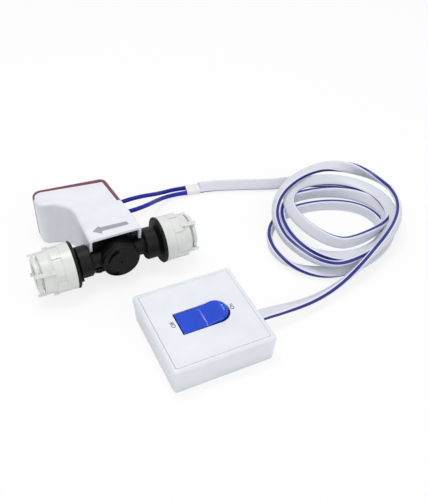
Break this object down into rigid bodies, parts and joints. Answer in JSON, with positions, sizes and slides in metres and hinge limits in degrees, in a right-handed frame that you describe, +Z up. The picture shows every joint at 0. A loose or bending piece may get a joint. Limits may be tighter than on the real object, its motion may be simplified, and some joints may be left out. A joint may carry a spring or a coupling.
{
  "type": "remote stopcock switch",
  "caption": "Push-fit stop valve with an air-driven actuator, joined by a coiled striped twin tube to a square wall switch box with a blue On/Off rocker",
  "frame": {"origin": "middle of the ground the valve unit and the switch box stand on, tubing left out", "axes": "+X along the pipe towards the inlet, +Y back along the actuator, +Z up"},
  "size_m": [0.3569, 0.2333, 0.049],
  "materials": {
    "white_casing": "satin",
    "maroon_cover": "satin",
    "valve_black": "satin",
    "cap_white": "satin",
    "rocker_blue": "gloss",
    "inner_black": "matte",
    "seal_rubber": "matte",
    "bellows_rubber": "matte",
    "dark_screws": "satin",
    "steel_pins": "satin",
    "blue_tube": "satin",
    "pale_tube": "satin"
  },
  "bodies": {
    "base": {"valve_body": "valve_black", "chamber_cap": "valve_black", "chamber_seal": "seal_rubber", "bonnet_gasket": "seal_rubber", "bonnet": "valve_black", "flange_screws": "dark_screws", "pipe_seal_inlet": "seal_rubber", "pipe_seal_outlet": "seal_rubber", "spacer_ring_inlet": "inner_black", "spacer_ring_outlet": "inner_black", "actuator_housing": "white_casing", "back_cover": "maroon_cover", "actuator_frame": "inner_black", "lever_pin": "steel_pins", "actuator_bellows_open": "bellows_rubber", "actuator_bellows_close": "bellows_rubber", "air_spouts": "inner_black", "air_tube_open": "blue_tube", "air_tube_close": "blue_tube", "tube_sleeve": "pale_tube", "twin_tube_valve_end": "pale_tube", "twin_tube_coil": "pale_tube", "twin_tube_switch_end": "pale_tube", "tube_gland": "white_casing", "switch_base": "white_casing", "switch_face": "white_casing", "rocker_pin": "steel_pins", "bellows_tray": "inner_black", "switch_bellows_on": "bellows_rubber", "switch_bellows_off": "bellows_rubber"},
    "rocker": {"rocker": "rocker_blue"},
    "lever": {"actuator_lever": "inner_black"},
    "plunger": {"main_plunger": "inner_black", "plunger_washer": "seal_rubber", "plunger_seal": "seal_rubber"},
    "cap_inlet": {"screw_cap_inlet": "cap_white"},
    "cap_outlet": {"screw_cap_outlet": "cap_white"},
    "collet_inlet_body": {"collet_inlet": "cap_white", "grab_ring_inlet": "steel_pins"},
    "collet_outlet_body": {"collet_outlet": "cap_white", "grab_ring_outlet": "steel_pins"}
  },
  "joints": [
    {"name": "rocker_hinge", "type": "hinge", "parent": "base", "child": "rocker", "pos_m": [0.0346, -0.07064, 0.02], "axis": [0, 1, 0], "range_deg": [0, 10], "deforming": ["switch_bellows_on"]},
    {"name": "lever_hinge", "type": "hinge", "parent": "base", "child": "lever", "pos_m": [-0.0166, 0.07996, 0.025], "axis": [0, 0, 1], "range_deg": [0, 16.4]},
    {"name": "plunger_slide", "type": "slide", "parent": "base", "child": "plunger", "axis": [0, 1, 0], "range_m": [0, 0.004]},
    {"name": "cap_inlet_screw", "type": "hinge", "parent": "base", "child": "cap_inlet", "pos_m": [0.0524, 0.02996, 0.025], "axis": [1, 0, 0], "range_deg": [0, 90]},
    {"name": "cap_outlet_screw", "type": "hinge", "parent": "base", "child": "cap_outlet", "pos_m": [-0.0576, 0.02996, 0.025], "axis": [-1, 0, 0], "range_deg": [0, 90]},
    {"name": "collet_inlet_slide", "type": "slide", "parent": "cap_inlet", "child": "collet_inlet_body", "axis": [-1, 0, 0], "range_m": [0, 0.0016]},
    {"name": "collet_outlet_slide", "type": "slide", "parent": "cap_outlet", "child": "collet_outlet_body", "axis": [1, 0, 0], "range_m": [0, 0.0016]}
  ],
  "couplings": [
    {"joint": "lever_hinge", "follows": "rocker_hinge", "ratio": 1.64},
    {"joint": "plunger_slide", "follows": "rocker_hinge", "m_per_rad": 0.022918}
  ]
}
